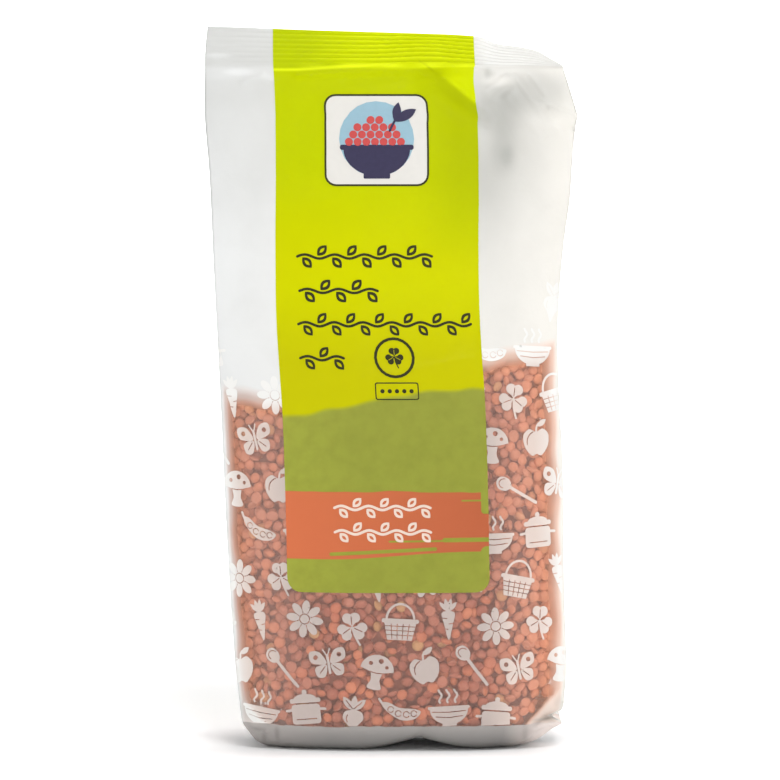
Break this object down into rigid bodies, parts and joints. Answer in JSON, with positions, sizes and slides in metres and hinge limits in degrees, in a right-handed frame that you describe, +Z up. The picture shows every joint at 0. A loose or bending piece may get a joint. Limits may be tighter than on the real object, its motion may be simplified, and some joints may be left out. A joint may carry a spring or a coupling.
{
  "type": "bag of lentils",
  "caption": "Sealed side-gusset film bag, standing upright, half filled with split red lentils, with a crimped top seal that leans back and a broad label strip down its front.",
  "frame": {"origin": "on the surface that the bag stands on, under the middle of its box", "axes": "+Z up from the base to the seal, +Y from the front panel to the back panel, +X to the right of the front"},
  "size_m": [0.1298, 0.0568, 0.2514],
  "materials": {
    "film": "frosted, half clear, soft gloss",
    "lentils": "matt, slightly waxy",
    "print": "satin ink"
  },
  "bodies": {
    "root": {"bag": "film"}
  },
  "joints": []
}
